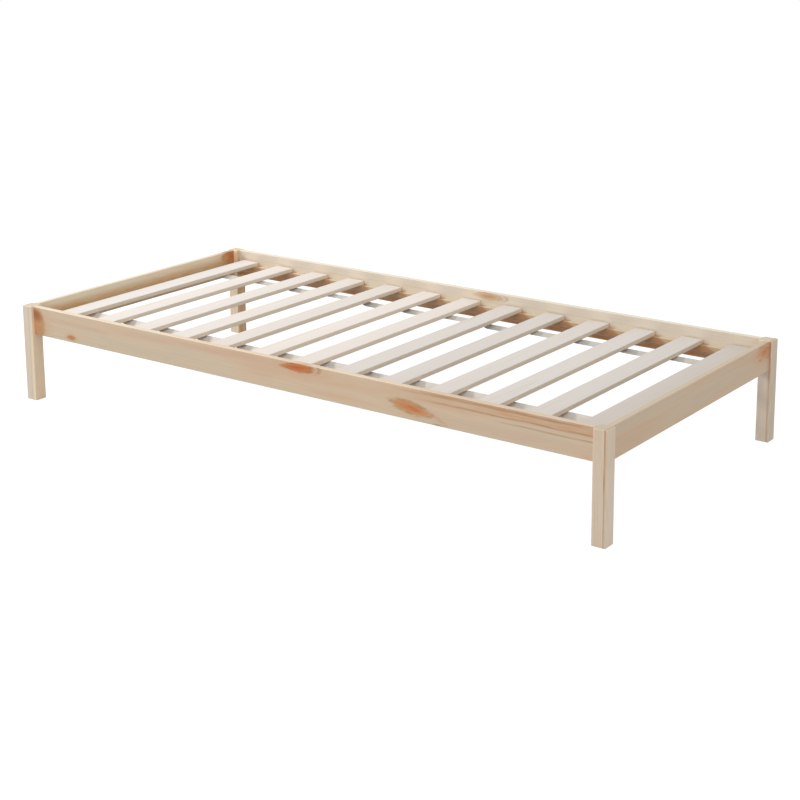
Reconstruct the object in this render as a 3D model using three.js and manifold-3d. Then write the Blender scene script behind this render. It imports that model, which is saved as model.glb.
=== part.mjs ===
// A low single bed frame of solid pine: four square legs, four rails let in between them, and a roll of
// thirteen slats that lies on a ledge inside each side rail. Two textile straps keep the slats apart.
// Millimetres. +X runs along the bed, +Y from its front to its back, +Z up, and the origin is on the floor
// below the middle of the bed.

import * as THREE from "three";
import { mergeVertices } from "three/addons/utils/BufferGeometryUtils.js";
import Module from "manifold-3d";

const wasm = await Module();
wasm.setup();

// The whole bed, for a mattress of 2000 by 900
const bedLength = 2060;
const bedWidth = 975;
const bedHeight = 300;

// Legs, whose tops lie level with the rails
const legSide = 40;
const legEdgeRadius = 2;
const legEndEase = 1.2;

// Rails, set back from the outer faces of the legs
const railHeight = 88;
const railThickness = 18;
const railSetback = 8;
const railEdgeRadius = 2;

// Slats, loose on their ledges
const slatCount = 13;
const slatWidth = 68;
const slatThickness = 13;
const slatEdgeRadius = 1.8;
const slatEndEase = 0.8;
const slatEndGap = 4;
const slatTopDrop = 31;
const rollEndGap = 37;

// Ledges under the ends of the slats, and the screws that hold them to the side rails
const ledgeWidth = 20;
const ledgeHeight = 20;
const ledgeEdgeRadius = 1.5;
const ledgeEndGap = 1;
const screwCount = 7;
const screwEndDistance = 75;
const screwLength = 30;
const screwDiameter = 4;
const screwHeadDiameter = 8;
const screwHeadHeight = 2.6;
const screwTipLength = 4;

// Straps under the slats, stapled to each one and slack between them
const strapWidth = 29;
const strapThickness = 1.2;
const strapSag = 5;
const strapEndInset = 14;
const strapFromFrontEnd = 146;
const strapFromBackEnd = 168;

// Dowels that hold each end rail to its two legs, a pair in each joint
const dowelDiameter = 8;
const dowelLength = 30;
const dowelChamfer = 1;
const dowelEdgeDistance = 22;

// Hook fittings that hold each side rail to its two legs: a plate with hooks is let into the end of the
// rail, and drops into the slots of a strike plate that is let into the leg
const plateThickness = 2;
const plateWidth = 14;
const plateCornerRadius = 3;
const hookPlateLength = 72;
const strikePlateLength = 80;
const hookSpacing = 34;
const hookThickness = 3;
const hookReach = 9;
const hookNeckHeight = 9;
const hookNoseDrop = 7;
const hookLift = 1.5;
const pocketRoom = 1;

// Clearance round a piece in its seat, how far a cutter runs past the wood, and when two corners are one
const fit = 0.3;
const overrun = 2;
const weldDistance = 0.0005;

// How finely the rounded forms are divided
const edgeSteps = 3;
const roundSteps = 12;
const sagSteps = 6;

// Lengths and levels that follow
const sideRailLength = bedLength - 2 * legSide;
const endRailLength = bedWidth - 2 * legSide;
const railMiddle = bedHeight - railHeight / 2;
const innerLength = bedLength - 2 * (railSetback + railThickness);
const innerWidth = bedWidth - 2 * (railSetback + railThickness);
const railOffset = railSetback + railThickness / 2;
const slatLength = innerWidth - 2 * slatEndGap;
const slatPitch = (innerLength - 2 * rollEndGap - slatWidth) / (slatCount - 1);
const slatBottom = bedHeight - slatTopDrop - slatThickness;
const ledgeLength = sideRailLength - 2 * ledgeEndGap;
const ledgeMiddle = slatBottom - ledgeHeight / 2;
const screwSpacing = (ledgeLength - 2 * screwEndDistance) / (screwCount - 1);

// Finishes
const pine = new THREE.MeshStandardMaterial({ color: 0xe3c9a0, roughness: 0.62, metalness: 0 });
const paleWood = new THREE.MeshStandardMaterial({ color: 0xf0e4d2, roughness: 0.68, metalness: 0 });
const beech = new THREE.MeshStandardMaterial({ color: 0xd9b384, roughness: 0.6, metalness: 0 });
const webbing = new THREE.MeshStandardMaterial({ color: 0xc9c8c6, roughness: 0.9, metalness: 0 });
const zincPlate = new THREE.MeshStandardMaterial({ color: 0xb9bdc2, roughness: 0.35, metalness: 1 });

// A closed geometry as a solid that can be cut and joined
function solidOf(geometry) {
  const bare = geometry.clone();
  bare.deleteAttribute("normal");
  bare.deleteAttribute("uv");
  const merged = mergeVertices(bare, weldDistance);
  const vertProperties = merged.attributes.position.array;
  const triVerts = new Uint32Array(merged.index.array);
  return new wasm.Manifold(new wasm.Mesh({ numProp: 3, vertProperties, triVerts }));
}

function geometryOf(solid) {
  const mesh = solid.getMesh();
  const geometry = new THREE.BufferGeometry();
  geometry.setAttribute("position", new THREE.BufferAttribute(mesh.vertProperties, mesh.numProp));
  geometry.setIndex(new THREE.BufferAttribute(mesh.triVerts, 1));
  geometry.computeVertexNormals();
  return geometry;
}

function cut(geometry, cutters) {
  return geometryOf(cutters.reduce((left, cutter) => left.subtract(solidOf(cutter)), solidOf(geometry)));
}

function join(geometries) {
  return geometryOf(geometries.map(solidOf).reduce((whole, piece) => whole.add(piece)));
}

function roundedRectangle(width, height, radius) {
  const x = width / 2 - radius;
  const y = height / 2 - radius;
  const shape = new THREE.Shape();
  shape.absarc(x, y, radius, 0, Math.PI / 2);
  shape.absarc(-x, y, radius, Math.PI / 2, Math.PI);
  shape.absarc(-x, -y, radius, Math.PI, 1.5 * Math.PI);
  shape.absarc(x, -y, radius, 1.5 * Math.PI, 2 * Math.PI);
  return shape;
}

// A planed board along Z, centred, with its four long edges rounded and the edges of its ends eased
function board(width, thickness, length, edgeRadius, endEase) {
  const depth = length - 2 * endEase;
  const geometry = new THREE.ExtrudeGeometry(roundedRectangle(width, thickness, edgeRadius), {
    depth,
    curveSegments: edgeSteps,
    bevelEnabled: endEase > 0,
    bevelThickness: endEase,
    bevelSize: endEase,
    bevelOffset: -endEase,
    bevelSegments: 1,
  });
  return geometry.translate(0, 0, -depth / 2);
}

// Boards that lie along the bed, or across it, with their width upright or flat
const alongBed = (geometry) => geometry.rotateY(Math.PI / 2);
const acrossBed = (geometry) => geometry.rotateX(Math.PI / 2);

// A plate on edge in the YZ plane that fills X from start to end
function uprightPlate(width, length, radius, start, end) {
  const shape = roundedRectangle(length, width, radius);
  const geometry = new THREE.ExtrudeGeometry(shape, {
    depth: end - start,
    curveSegments: edgeSteps,
    bevelEnabled: false,
  });
  return alongBed(geometry).translate(start, 0, 0);
}

function block(x0, x1, width, z0, z1) {
  const geometry = new THREE.BoxGeometry(x1 - x0, width, z1 - z0);
  return geometry.translate((x0 + x1) / 2, 0, (z0 + z1) / 2);
}

// A turned piece on the Y axis, from points of radius and place
function turned(points) {
  return new THREE.LatheGeometry(
    points.map(([radius, place]) => new THREE.Vector2(radius, place)),
    roundSteps,
  );
}

function rod(radius, start, end) {
  return turned([
    [0, start],
    [radius, start],
    [radius, end],
    [0, end],
  ]);
}

// Hook fitting, in the frame of its joint: X points from the rail into the leg and is zero where they
// meet, and Z is zero at the middle of the rail's height
const hookNeckBottoms = [-1, 1].map((side) => (side * hookSpacing - hookNeckHeight) / 2);
const slotWidth = hookThickness + 2 * fit;
const slotHeight = hookNeckHeight + hookNoseDrop + hookLift;

function hookPlate() {
  const pieces = [uprightPlate(plateWidth, hookPlateLength, plateCornerRadius, -plateThickness, 0)];
  for (const neckBottom of hookNeckBottoms) {
    const neckTop = neckBottom + hookNeckHeight;
    const profile = new THREE.Shape();
    profile.moveTo(-plateThickness / 2, neckBottom);
    profile.lineTo(plateThickness + fit, neckBottom);
    profile.lineTo(plateThickness + fit, neckBottom - hookNoseDrop);
    profile.lineTo(hookReach - hookThickness / 2, neckBottom - hookNoseDrop);
    profile.lineTo(hookReach, neckBottom);
    profile.lineTo(hookReach, neckTop - hookThickness);
    profile.lineTo(hookReach - hookThickness, neckTop);
    profile.lineTo(-plateThickness / 2, neckTop);
    const hook = new THREE.ExtrudeGeometry(profile, { depth: hookThickness, bevelEnabled: false });
    pieces.push(acrossBed(hook).translate(0, hookThickness / 2, 0));
  }
  return join(pieces);
}

function strikePlate() {
  const plate = uprightPlate(plateWidth, strikePlateLength, plateCornerRadius, 0, plateThickness);
  const slots = hookNeckBottoms.map((neckBottom) => {
    const bottom = neckBottom - fit;
    return block(-overrun, plateThickness + overrun, slotWidth, bottom, bottom + slotHeight);
  });
  return cut(plate, slots);
}

function hookPlateRecess() {
  const width = plateWidth + 2 * fit;
  const length = hookPlateLength + 2 * fit;
  return uprightPlate(width, length, plateCornerRadius + fit, -plateThickness, overrun);
}

// The strike plate's seat in the leg, and the pockets behind its slots
function strikeRecesses() {
  const width = plateWidth + 2 * fit;
  const length = strikePlateLength + 2 * fit;
  const seat = uprightPlate(width, length, plateCornerRadius + fit, -overrun, plateThickness);
  const pockets = hookNeckBottoms.map((neckBottom) => {
    const bottom = neckBottom - hookNoseDrop - pocketRoom;
    const top = neckBottom - fit + slotHeight;
    return block(0, hookReach + pocketRoom, slotWidth + 2 * pocketRoom, bottom, top);
  });
  return [seat, ...pockets];
}

// Dowels, at two heights in each joint of an end rail, measured from the middle of the rail
const dowelHeights = [-1, 1].map((side) => side * (railHeight / 2 - dowelEdgeDistance));

function dowel() {
  const radius = dowelDiameter / 2;
  const end = dowelLength / 2;
  return turned([
    [0, -end],
    [radius - dowelChamfer, -end],
    [radius, -end + dowelChamfer],
    [radius, end - dowelChamfer],
    [radius - dowelChamfer, end],
    [0, end],
  ]);
}

// The hole for a dowel, half in the rail and half in the leg
function dowelHole() {
  const end = dowelLength / 2 + fit;
  return rod(dowelDiameter / 2 + fit, -end, end);
}

// Ledge screw, with its head's flat face at zero and its tip towards +Y
function ledgeScrew() {
  const radius = screwDiameter / 2;
  return turned([
    [0, 0],
    [screwHeadDiameter / 2, 0],
    [radius, screwHeadHeight],
    [radius, screwLength - screwTipLength],
    [0, screwLength],
  ]);
}

// The screw's hole: countersunk in the ledge, and a plain bore that goes on into the rail
function ledgeScrewHole() {
  const radius = screwDiameter / 2 + fit;
  const headRadius = screwHeadDiameter / 2 + fit;
  return turned([
    [0, -overrun],
    [headRadius, -overrun],
    [headRadius, 0],
    [radius, screwHeadHeight],
    [radius, screwLength + fit],
    [0, screwLength + fit],
  ]);
}

const screwPlaces = Array.from(
  { length: screwCount },
  (_, i) => -ledgeLength / 2 + screwEndDistance + i * screwSpacing,
);

// Wooden pieces, each about its own middle. Side and end are -1 or 1: front or back, left or right.

function leg(end, side) {
  const post = board(legSide, legSide, bedHeight, legEdgeRadius, legEndEase);
  const jointHeight = railMiddle - bedHeight / 2;
  const railPlace = legSide / 2 - railOffset;
  const towardsLeg = end < 0 ? Math.PI : 0;
  const hookCuts = strikeRecesses().map((cutter) =>
    cutter.rotateZ(towardsLeg).translate((-end * legSide) / 2, side * railPlace, jointHeight),
  );
  const dowelCuts = dowelHeights.map((height) =>
    dowelHole().translate(end * railPlace, (-side * legSide) / 2, jointHeight + height),
  );
  return cut(post, [...hookCuts, ...dowelCuts]);
}

function sideRail(side) {
  const rail = alongBed(board(railHeight, railThickness, sideRailLength, railEdgeRadius, 0));
  const recesses = [-1, 1].map((end) =>
    hookPlateRecess()
      .rotateZ(end < 0 ? Math.PI : 0)
      .translate((end * sideRailLength) / 2, 0, 0),
  );
  const screwBores = screwPlaces.map((place) =>
    ledgeScrewHole()
      .rotateZ(side < 0 ? Math.PI : 0)
      .translate(place, -side * (railThickness / 2 + ledgeWidth), ledgeMiddle - railMiddle),
  );
  return cut(rail, [...recesses, ...screwBores]);
}

function endRail() {
  const rail = acrossBed(board(railThickness, railHeight, endRailLength, railEdgeRadius, 0));
  const holes = [-1, 1].flatMap((side) =>
    dowelHeights.map((height) => dowelHole().translate(0, (side * endRailLength) / 2, height)),
  );
  return cut(rail, holes);
}

function ledge(side) {
  const strip = alongBed(board(ledgeHeight, ledgeWidth, ledgeLength, ledgeEdgeRadius, 0));
  const holes = screwPlaces.map((place) =>
    ledgeScrewHole()
      .rotateZ(side < 0 ? Math.PI : 0)
      .translate(place, (-side * ledgeWidth) / 2, 0),
  );
  return cut(strip, holes);
}

function slat() {
  return acrossBed(board(slatWidth, slatThickness, slatLength, slatEdgeRadius, slatEndEase));
}

const slatPlaces = Array.from(
  { length: slatCount },
  (_, i) => (i - (slatCount - 1) / 2) * slatPitch,
);

// The strap's upper line lies flat under each slat and hangs in a shallow curve across each gap
function strap() {
  const start = slatPlaces[0] - slatWidth / 2 + strapEndInset;
  const end = slatPlaces[slatCount - 1] + slatWidth / 2 - strapEndInset;
  const gap = slatPitch - slatWidth;
  const line = [[start, 0]];
  for (const place of slatPlaces.slice(0, -1)) {
    for (let step = 0; step <= sagSteps; step++) {
      const share = step / sagSteps;
      line.push([place + slatWidth / 2 + share * gap, -4 * strapSag * share * (1 - share)]);
    }
  }
  line.push([end, 0]);
  const lower = line.map(([x, z]) => [x, z - strapThickness]).reverse();
  const profile = new THREE.Shape([...line, ...lower].map(([x, z]) => new THREE.Vector2(x, z)));
  const band = new THREE.ExtrudeGeometry(profile, { depth: strapWidth, bevelEnabled: false });
  return acrossBed(band).translate(0, strapWidth / 2, 0);
}

// Assembly

const bed = new THREE.Group();

function place(parent, name, geometry, material, x, y, z, turn = 0) {
  const mesh = new THREE.Mesh(geometry, material.clone());
  mesh.name = name;
  mesh.position.set(x, y, z);
  mesh.rotation.z = turn;
  parent.add(mesh);
}

const ends = [
  [-1, "left"],
  [1, "right"],
];
const sides = [
  [-1, "front"],
  [1, "back"],
];
const railEndX = sideRailLength / 2;
const railEndY = endRailLength / 2;

for (const [end, endName] of ends) {
  const frame = new THREE.Group();
  frame.position.x = end * (bedLength / 2 - legSide / 2);
  bed.add(frame);
  for (const [side, sideName] of sides) {
    const legY = side * (bedWidth / 2 - legSide / 2);
    place(frame, `leg_${sideName}_${endName}`, leg(end, side), pine, 0, legY, bedHeight / 2);
  }
  const railX = end * (legSide / 2 - railOffset);
  place(frame, `end_rail_${endName}`, endRail(), pine, railX, 0, railMiddle);
  for (const [side, sideName] of sides) {
    dowelHeights.forEach((height, i) => {
      const name = `dowel_${sideName}_${endName}_${i ? "upper" : "lower"}`;
      place(frame, name, dowel(), beech, railX, side * railEndY, railMiddle + height);
    });
  }
}

for (const [side, sideName] of sides) {
  const frame = new THREE.Group();
  frame.position.set(0, side * (bedWidth / 2 - railOffset), railMiddle);
  bed.add(frame);
  place(frame, `side_rail_${sideName}`, sideRail(side), pine, 0, 0, 0);
  for (const [end, endName] of ends) {
    const turn = end < 0 ? Math.PI : 0;
    const corner = `${sideName}_${endName}`;
    place(frame, `hook_plate_${corner}`, hookPlate(), zincPlate, end * railEndX, 0, 0, turn);
    place(frame, `strike_plate_${corner}`, strikePlate(), zincPlate, end * railEndX, 0, 0, turn);
  }
  const ledgeY = -side * (railThickness / 2 + ledgeWidth / 2);
  const ledgeZ = ledgeMiddle - railMiddle;
  place(frame, `slat_ledge_${sideName}`, ledge(side), pine, 0, ledgeY, ledgeZ);
  const headY = -side * (railThickness / 2 + ledgeWidth);
  screwPlaces.forEach((x, i) => {
    const name = `ledge_screw_${sideName}_${i + 1}`;
    place(frame, name, ledgeScrew(), zincPlate, x, headY, ledgeZ, side < 0 ? Math.PI : 0);
  });
}

const roll = new THREE.Group();
roll.position.z = slatBottom;
bed.add(roll);
slatPlaces.forEach((x, i) => {
  const name = `slat_${String(i + 1).padStart(2, "0")}`;
  place(roll, name, slat(), paleWood, x, 0, slatThickness / 2);
});
const strapFrontY = -slatLength / 2 + strapFromFrontEnd;
const strapBackY = slatLength / 2 - strapFromBackEnd;
place(roll, "slat_strap_front", strap(), webbing, 0, strapFrontY, 0);
place(roll, "slat_strap_back", strap(), webbing, 0, strapBackY, 0);

export default bed;
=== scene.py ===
# %% [markdown]
# # A low pine bed frame, dressed board by board
#
# The real object is a single bed frame of planed softwood: four square legs, four rails, thirteen loose
# slats on two ledges, and two woven straps that keep the slats apart. Its shape is very plain, so almost
# all of its character sits in the wood: growth rings, fibres, knots and the eased edges.
#
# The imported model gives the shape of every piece. This lesson keeps that shape and adds what a solid
# model can't hold.

# %% Load the frame
import math
import random

import bmesh
import bpy
import numpy as np
from mathutils import Matrix, Vector


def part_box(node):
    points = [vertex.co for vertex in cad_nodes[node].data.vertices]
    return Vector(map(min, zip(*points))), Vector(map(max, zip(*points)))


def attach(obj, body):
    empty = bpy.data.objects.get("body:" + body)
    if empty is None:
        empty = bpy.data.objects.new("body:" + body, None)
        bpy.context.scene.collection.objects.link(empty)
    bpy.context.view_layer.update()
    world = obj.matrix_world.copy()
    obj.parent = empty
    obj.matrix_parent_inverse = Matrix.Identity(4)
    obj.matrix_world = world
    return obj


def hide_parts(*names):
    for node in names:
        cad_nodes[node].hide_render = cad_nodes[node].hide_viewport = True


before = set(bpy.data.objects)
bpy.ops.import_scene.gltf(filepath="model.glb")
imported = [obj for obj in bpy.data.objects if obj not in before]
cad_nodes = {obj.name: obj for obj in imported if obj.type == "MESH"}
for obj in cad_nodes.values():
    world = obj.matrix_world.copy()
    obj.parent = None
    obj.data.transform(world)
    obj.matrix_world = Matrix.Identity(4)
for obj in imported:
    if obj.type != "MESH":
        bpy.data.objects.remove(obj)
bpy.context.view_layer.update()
print("nodes in the frame:", len(cad_nodes))


# %% [markdown]
# ## The camera
#
# The bed was photographed from above one corner with a long lens, and the picture's middle lies lower
# than the lens looked. A camera can copy that in two ways: tilt it further down, or shift its sensor.
# Tilting makes the legs lean inwards towards the floor, and the real picture shows them almost upright,
# so the sensor is shifted a little.

# %% Place the camera
PICTURE_SIDE = 800
SENSOR_WIDTH = 36.0
FOCAL_PIXELS = 1660.7
SIGHT_LINE = (430.0, 240.0)
camera_place = Vector((2.8709, -3.7797, 1.5984))
camera_yaw, camera_pitch, camera_roll = -0.6213, 0.2184, -0.0038


def new_object(name, data):
    made = bpy.data.objects.new(name, data)
    bpy.context.scene.collection.objects.link(made)
    return made


look = Vector(
    (
        math.sin(camera_yaw) * math.cos(camera_pitch),
        math.cos(camera_yaw) * math.cos(camera_pitch),
        -math.sin(camera_pitch),
    )
)
level_right = Vector((math.cos(camera_yaw), -math.sin(camera_yaw), 0.0))
level_up = level_right.cross(look)
camera_right = math.cos(camera_roll) * level_right + math.sin(camera_roll) * level_up
camera_up = math.cos(camera_roll) * level_up - math.sin(camera_roll) * level_right

camera_data = bpy.data.cameras.new("bed_camera")
camera_data.sensor_width = SENSOR_WIDTH
camera_data.lens = FOCAL_PIXELS / PICTURE_SIDE * SENSOR_WIDTH
camera_data.shift_x = (PICTURE_SIDE / 2 - SIGHT_LINE[0]) / PICTURE_SIDE
camera_data.shift_y = (SIGHT_LINE[1] - PICTURE_SIDE / 2) / PICTURE_SIDE
camera_data.clip_end = 100.0
camera = new_object("bed_camera", camera_data)
turn = Matrix((camera_right, camera_up, -look)).transposed().to_4x4()
camera.matrix_world = Matrix.Translation(camera_place) @ turn
bpy.context.scene.camera = camera
print("lens", round(camera_data.lens, 1), "mm, shift", round(camera_data.shift_y, 3))


# %% [markdown]
# ## Small tools for node trees
#
# Every finish below is a network of shader nodes. Writing each node by hand takes many lines, so one
# helper adds a node and fills its inputs: a socket is linked, a number or a colour is set. A pattern
# that several materials need becomes a node group, here called an effect: it takes in a place on the
# board and gives out masks. The materials lay colours over each other with those masks.

# %% Node helpers
def add_node(tree, kind, inputs=None, **settings):
    made = tree.nodes.new(kind)
    for name, value in settings.items():
        setattr(made, name, value)
    for name, value in (inputs or {}).items():
        if isinstance(value, bpy.types.NodeSocket):
            tree.links.new(value, made.inputs[name])
        else:
            made.inputs[name].default_value = value
    return made


def maths(tree, operation, *values, clamp=False):
    inputs = dict(enumerate(values))
    return add_node(tree, "ShaderNodeMath", inputs, operation=operation, use_clamp=clamp).outputs[0]


def times(tree, product, *others):
    for other in others:
        product = maths(tree, "MULTIPLY", product, other)
    return product


def vector_maths(tree, operation, *values):
    made = add_node(tree, "ShaderNodeVectorMath", dict(enumerate(values)), operation=operation)
    return made.outputs["Value" if operation == "LENGTH" else "Vector"]


def fade(tree, value, low, high, to_low=0.0, to_high=1.0):
    """A soft step from to_low at low to to_high at high."""
    inputs = {"Value": value, "From Min": low, "From Max": high, "To Min": to_low, "To Max": to_high}
    return add_node(tree, "ShaderNodeMapRange", inputs, interpolation_type="SMOOTHSTEP").outputs[0]


def fade_out(tree, value, low, high):
    return fade(tree, value, low, high, 1.0, 0.0)


# %% Pattern and colour helpers
def noise(tree, place, scale, detail=2.0, roughness=0.5, distortion=0.0):
    inputs = {
        "Vector": place, "Scale": scale, "Detail": detail, "Roughness": roughness,
        "Distortion": distortion,
    }
    return add_node(tree, "ShaderNodeTexNoise", inputs).outputs["Fac"]


def grain_noise(tree, place, along, across, detail=1.0, roughness=0.5):
    """Noise with so many waves per metre along the grain, and so many across it."""
    stretched = vector_maths(tree, "MULTIPLY", place, (along, across, across))
    return noise(tree, stretched, 1.0, detail, roughness)


def tint(tree, share, below, above):
    """Mixes two colours: sockets 6, 7 and 2 of the Mix node are its coloured ones."""
    made = add_node(tree, "ShaderNodeMix", {0: share, 6: below, 7: above}, data_type="RGBA")
    return made.outputs[2]


def stain(tree, colour, mask, share, over):
    return tint(tree, times(tree, mask, share), colour, over)


def split(tree, place):
    return add_node(tree, "ShaderNodeSeparateXYZ", {0: place}).outputs


# %% Effect helpers
def new_effect(name, inputs):
    """A node group with its inputs. A number is an input's default, and None stands for a vector."""
    tree = bpy.data.node_groups.new(name, "ShaderNodeTree")
    for title, value in inputs.items():
        kind = "NodeSocketVector" if value is None else "NodeSocketFloat"
        made = tree.interface.new_socket(title, in_out="INPUT", socket_type=kind)
        if value is not None:
            made.default_value = value
    return tree, tree.nodes.new("NodeGroupInput").outputs


def give_out(tree, results):
    """Ends an effect: each named result becomes one of its outputs."""
    for title, socket in results.items():
        kind = "NodeSocketVector" if socket.type == "VECTOR" else "NodeSocketFloat"
        tree.interface.new_socket(title, in_out="OUTPUT", socket_type=kind)
    end = tree.nodes.new("NodeGroupOutput")
    for title, socket in results.items():
        tree.links.new(socket, end.inputs[title])
    print("effect:", tree.name, "with", len(tree.nodes), "nodes gives", *results)
    return tree


def use_effect(tree, effect, inputs=None):
    return add_node(tree, "ShaderNodeGroup", inputs, node_tree=effect).outputs


def paint(red, green, blue):
    """A colour read as 8-bit screen values, as the linear colour that a shader wants."""
    linear = [(value / 255.0) ** 2.2 for value in (red, green, blue)]
    return (*linear, 1.0)


# %% [markdown]
# ## Floor, light and white surroundings
#
# The photograph was cut out on pure white. In a render the same white comes from what the camera sees
# directly, and not from more light on the wood: the Light Path node tells camera rays from all others.
# The floor still darkens a little where the bed keeps light from it. The main light is a window high on
# the left, small enough to draw the slats' shadows. Two weaker screens, one in front and one on the
# right, and an even glow from the room light what the window leaves dark.

# %% World
ROOM_LIGHT = (0.955, 0.995, 1.0, 1.0)
ROOM_STRENGTH = 0.69


def grey(value):
    return (value, value, value, 1.0)


def camera_sees(tree, seen, otherwise):
    """Mixes two shaders: the camera and mirrors see the first, and all other light the second."""
    paths = add_node(tree, "ShaderNodeLightPath").outputs
    mirrored = maths(tree, "MAXIMUM", paths["Is Glossy Ray"], paths["Is Transmission Ray"])
    share = maths(tree, "MAXIMUM", paths["Is Camera Ray"], mirrored)
    inputs = {0: share, 1: otherwise.outputs[0], 2: seen.outputs[0]}
    return add_node(tree, "ShaderNodeMixShader", inputs).outputs[0]


world = bpy.data.worlds.new("white_room")
bpy.context.scene.world = world
world.use_nodes = True
tree = world.node_tree
tree.nodes.clear()
lighting = add_node(tree, "ShaderNodeBackground", {"Color": ROOM_LIGHT, "Strength": ROOM_STRENGTH})
backdrop = add_node(tree, "ShaderNodeBackground", {"Color": grey(1.0), "Strength": 1.0})
add_node(tree, "ShaderNodeOutputWorld", {"Surface": camera_sees(tree, backdrop, lighting)})
bpy.context.scene.view_settings.view_transform = "Standard"
print("world:", world.name, "glows with", ROOM_STRENGTH)

# %% Floor
FLOOR_HALF = 9.0
FLOOR_GREY = 0.30
FLOOR_GLOW = 0.90
FLOOR_SHADE = 0.20


def new_material(name):
    material = bpy.data.materials.new(name)
    material.use_nodes = True
    material.node_tree.nodes.clear()
    return material, material.node_tree


floor_mesh = bpy.data.meshes.new("studio_floor")
corners = [(-1, -1), (1, -1), (1, 1), (-1, 1)]
floor_mesh.from_pydata([(x * FLOOR_HALF, y * FLOOR_HALF, 0.0) for x, y in corners], [], [(0, 1, 2, 3)])
floor = new_object("studio_floor", floor_mesh)

floor_material, tree = new_material("studio_floor")
lit = add_node(tree, "ShaderNodeBsdfDiffuse", {"Color": grey(FLOOR_GREY)})
shaded = add_node(tree, "ShaderNodeBsdfDiffuse", {"Color": grey(FLOOR_SHADE)})
glow = add_node(tree, "ShaderNodeEmission", {"Color": grey(1.0), "Strength": FLOOR_GLOW})
white = add_node(tree, "ShaderNodeAddShader", {0: shaded.outputs[0], 1: glow.outputs[0]})
add_node(tree, "ShaderNodeOutputMaterial", {"Surface": camera_sees(tree, white, lit)})
floor_mesh.materials.append(floor_material)
print("floor:", 2 * FLOOR_HALF, "m wide")

# %% Lamps
BED_MIDDLE = Vector((0.0, 0.0, 0.2))
# Each lamp has a place, a side in metres, a power in watts and a colour.
LAMPS = {
    "left_window": ((-5.5, -1.2, 4.0), 1.0, 250.0, (1.0, 1.0, 0.99)),
    "front_screen": ((0.4, -4.2, 1.1), 2.4, 37.0, (0.96, 0.96, 1.0)),
    "right_screen": ((8.8, -1.6, 2.4), 4.8, 106.0, (1.0, 0.96, 0.94)),
}
for name, (place, side, power, colour) in LAMPS.items():
    data = bpy.data.lights.new(name, "AREA")
    data.shape = "SQUARE"
    data.size = side
    data.energy = power
    data.color = colour
    lamp = new_object(name, data)
    lamp.location = place
    lamp.rotation_euler = (BED_MIDDLE - Vector(place)).to_track_quat("-Z", "Y").to_euler()
print("lamps:", *LAMPS)


# %% [markdown]
# ## Growth rings
#
# A plank is a slice of a trunk, so its pattern isn't painted on: it is where the plank's faces cut the
# yearly rings. The rings are worked out in three dimensions from the distance to the trunk's heart.
# Long faces then show flames or stripes, and ends show arcs, and the pattern runs on round each edge. A
# ring starts pale and soft in spring and ends in a thin dark line, so its profile is a slow rise with a
# sudden fall.

# %% Effect: growth rings
# Slow waves carry a line WANDER times the board's waviness, and quick ones QUIVER metres. Rings crowd by
# up to CROWDING_YEARS. A line darkens in the SUMMER share of its year and ends in the WINTER share.
WANDER = 4.0
QUIVER = 0.0009
CROWDING_WAVES = 45.0
CROWDING_YEARS = 5.0
SUMMER = (0.25, 0.92)
WINTER = (0.94, 1.0)

tree, given = new_effect("growth_rings", {"Log Place": None, "Ring Width": 0.005, "Waviness": 0.003})
place = given["Log Place"]
slow = grain_noise(tree, place, 0.8, 9.0, detail=1.5)
quick = grain_noise(tree, place, 7.0, 70.0, detail=2.0)
slow_shift = times(tree, maths(tree, "SUBTRACT", slow, 0.5), given["Waviness"], WANDER)
quick_shift = times(tree, maths(tree, "SUBTRACT", quick, 0.5), QUIVER)
from_heart = vector_maths(tree, "LENGTH", vector_maths(tree, "MULTIPLY", place, (0, 1, 1)))
radius = maths(tree, "ADD", maths(tree, "ADD", from_heart, slow_shift), quick_shift)
crowding = add_node(
    tree, "ShaderNodeTexNoise", {"W": radius, "Scale": CROWDING_WAVES, "Detail": 1.0},
    noise_dimensions="1D",
).outputs["Fac"]
count = maths(tree, "DIVIDE", radius, given["Ring Width"])
count = maths(tree, "ADD", count, times(tree, crowding, CROWDING_YEARS))
season = maths(tree, "FRACT", count)
rise = maths(tree, "POWER", fade(tree, season, *SUMMER), 2.0)
fall = fade_out(tree, season, *WINTER)
year = {"W": maths(tree, "FLOOR", count)}
how_dark = add_node(tree, "ShaderNodeTexWhiteNoise", year, noise_dimensions="1D").outputs["Value"]
how_dark = maths(tree, "MULTIPLY_ADD", how_dark, 0.8, 0.2)
fading = fade(tree, grain_noise(tree, place, 2.2, 55.0), 0.3, 0.6, 0.35, 1.0)
latewood = times(tree, rise, fall, how_dark, fading)
hair = grain_noise(tree, place, 60.0, 2600.0)
growth_rings = give_out(tree, {
    "Latewood": latewood,
    "Fibre": grain_noise(tree, place, 14.0, 620.0, detail=3.0, roughness=0.65),
    "Cloud": grain_noise(tree, place, 1.7, 15.0, detail=3.0, roughness=0.6),
    "Relief": maths(tree, "MULTIPLY_ADD", latewood, 0.7, times(tree, hair, 0.5)),
})


# %% [markdown]
# ## Knots
#
# A knot is a branch that the saw cut through. Three things make one look real: a darker oval with rings
# of its own, a thin dark rim of bark or resin, and grain that parts to flow round it. The last needs no
# drawing: near the knot the ring pattern is read from a point closer to the knot's middle line, which
# spreads the lines apart there. So this effect gives out a shift for the grain beside its masks. Behind
# one end of a long knot the wood has often healed over in a thin arc, which is a mask of its own.

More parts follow.
